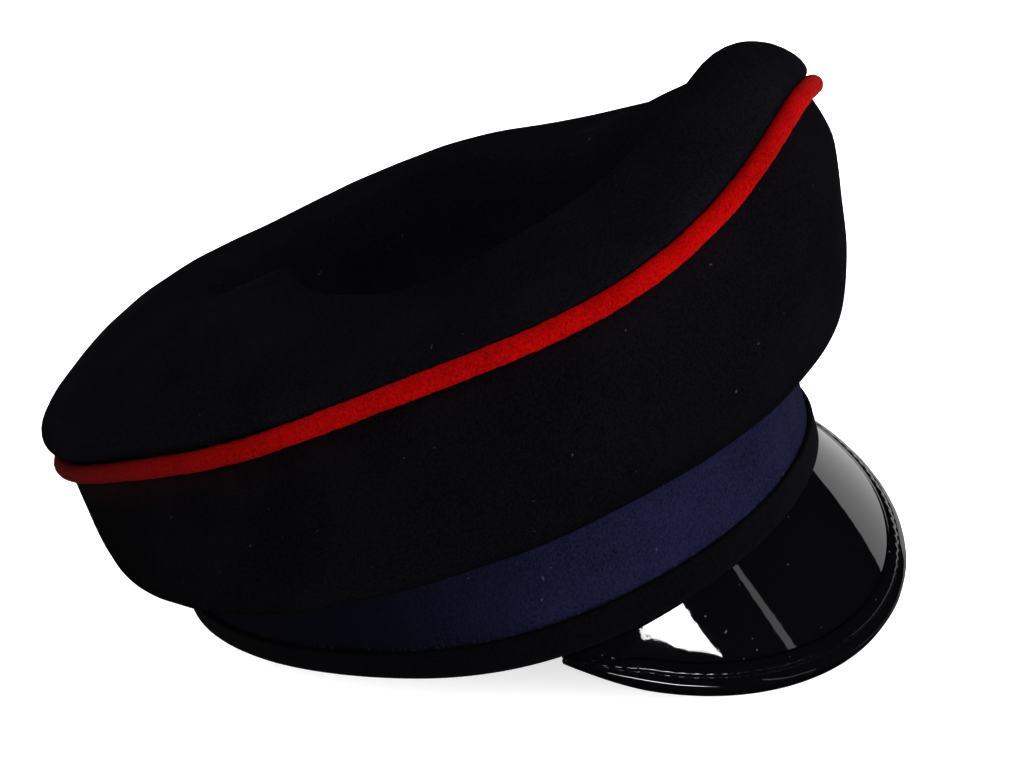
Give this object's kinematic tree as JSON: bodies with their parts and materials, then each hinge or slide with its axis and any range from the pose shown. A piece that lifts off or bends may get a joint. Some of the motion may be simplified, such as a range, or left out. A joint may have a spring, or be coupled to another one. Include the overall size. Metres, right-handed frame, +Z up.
{
  "type": "peaked cap",
  "caption": "Peaked cap in near-black felt with a padded crown, red piping, dark blue band, black strip and a glossy black peak.",
  "frame": {"origin": "on the surface the cap rests on, under the middle of its box", "axes": "+Z up from that surface, -Y towards the peak, +X towards the wearer's left"},
  "size_m": [0.2392, 0.264, 0.1654],
  "materials": {
    "navy_felt": "napped felt, near black with a blue cast",
    "red_felt": "napped felt over a cord",
    "blue_felt": "napped felt, dark blue",
    "black_cloth": "fine black cloth",
    "patent_leather": "glossy patent"
  },
  "bodies": {
    "root": {"crown_top": "navy_felt", "crown_side": "navy_felt", "crown_piping": "red_felt", "band": "blue_felt", "band_strip": "black_cloth", "peak": "patent_leather", "peak_binding": "patent_leather"}
  },
  "joints": []
}
